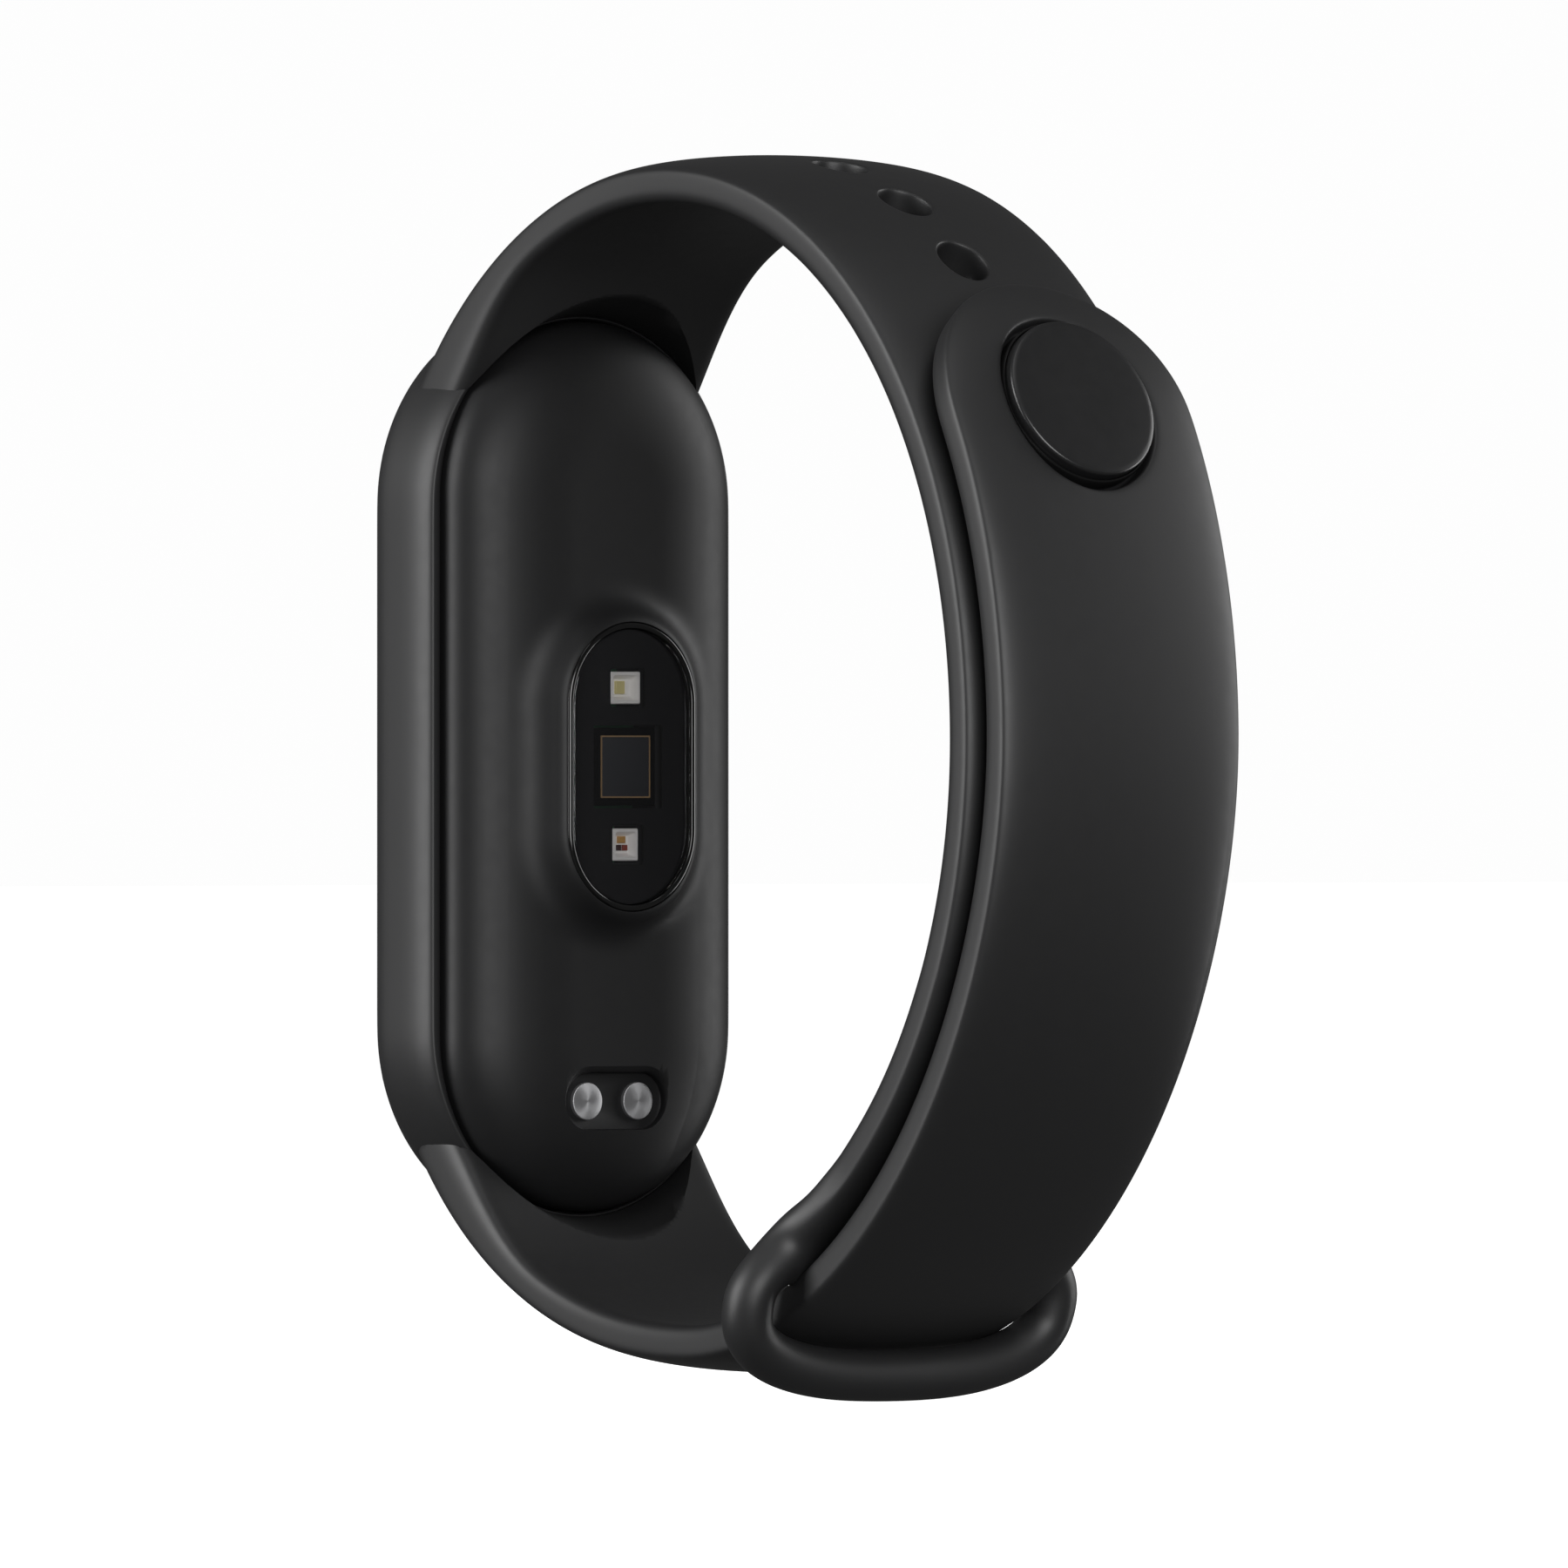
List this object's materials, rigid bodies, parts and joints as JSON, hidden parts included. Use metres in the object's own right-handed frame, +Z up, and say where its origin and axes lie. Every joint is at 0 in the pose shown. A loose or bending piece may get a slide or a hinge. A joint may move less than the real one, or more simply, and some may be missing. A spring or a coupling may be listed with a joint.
{
  "type": "fitness tracker band",
  "caption": "Pill-shaped wrist tracker in a rubber holder; its holed strap ends in a keeper loop, and a stud strap threads the loop and snaps into a hole.",
  "frame": {"origin": "centre of the wrist opening, on the strap's centre line", "axes": "+X across the strap's width, -Y out of the screen, +Y towards the stud, +Z up along the tracker's long side"},
  "size_m": [0.023, 0.0534, 0.065],
  "materials": {
    "band_rubber": "fine matte moulded surface with soft satin highlights",
    "shell_plastic": "fine matte moulded plastic",
    "cover_glass": "polished black-printed glass",
    "window_glass": "polished black-printed window",
    "gloss_black": "polished black trim",
    "stud_cap": "matte black coating with a polished bevel",
    "steel": "spun or brushed steel",
    "black_plastic": "matte black plastic",
    "display_film": "dark display film",
    "circuit_board": "solder mask",
    "chip_black": "moulded chip package",
    "battery_foil": "laminated pouch foil",
    "polyimide": "amber flexible circuit film",
    "brass_strip": "plain metal",
    "ceramic": "white light package",
    "silicon": "dark polished silicon",
    "foam": "soft black foam or silicone"
  },
  "bodies": {
    "band": {"capsule_holder": "band_rubber", "strap_holed": "band_rubber", "keeper_loop": "band_rubber", "strap_plain": "band_rubber"},
    "tail": {"strap_tail": "band_rubber", "stud_cap": "stud_cap", "stud_post": "steel", "stud_ring": "gloss_black"},
    "tracker": {"rear_cover": "shell_plastic", "front_glass": "cover_glass", "glass_adhesive": "black_plastic", "display_panel": "display_film", "display_flex": "polyimide", "inner_tray": "black_plastic", "main_board": "circuit_board", "processor_chip": "chip_black", "memory_chip": "chip_black", "motion_sensor_chip": "chip_black", "antenna_strip": "brass_strip", "battery": "battery_foil", "battery_tab": "polyimide", "battery_pad": "foam", "motor_case": "steel", "motor_cover": "steel", "motor_shaft": "steel", "sensor_board": "circuit_board", "sensor_flex": "polyimide", "light_barrier": "black_plastic", "led_green": "ceramic", "photodiode": "silicon", "led_red": "ceramic", "sensor_window": "window_glass", "sensor_bezel": "gloss_black", "charge_contact_left": "steel", "charge_contact_right": "steel", "contact_seal_left": "foam", "contact_seal_right": "foam", "charge_magnet_left": "steel", "charge_magnet_right": "steel"},
    "motor_rotor": {"motor_rotor": "brass_strip"}
  },
  "joints": [
    {"name": "tail_peel", "type": "hinge", "parent": "band", "child": "tail", "pos_m": [0, 0.0299, 0.00185], "axis": [-1, 0, 0], "range_deg": [0, 70], "stiffness_Nm_per_rad": 0.004},
    {"name": "tracker_release", "type": "slide", "parent": "band", "child": "tracker", "axis": [0, -1, 0], "range_m": [0, 0.014]},
    {"name": "motor_spin", "type": "hinge", "parent": "tracker", "child": "motor_rotor", "pos_m": [0, -0.0179, -0.0125], "axis": [0, 1, 0], "continuous": true}
  ]
}
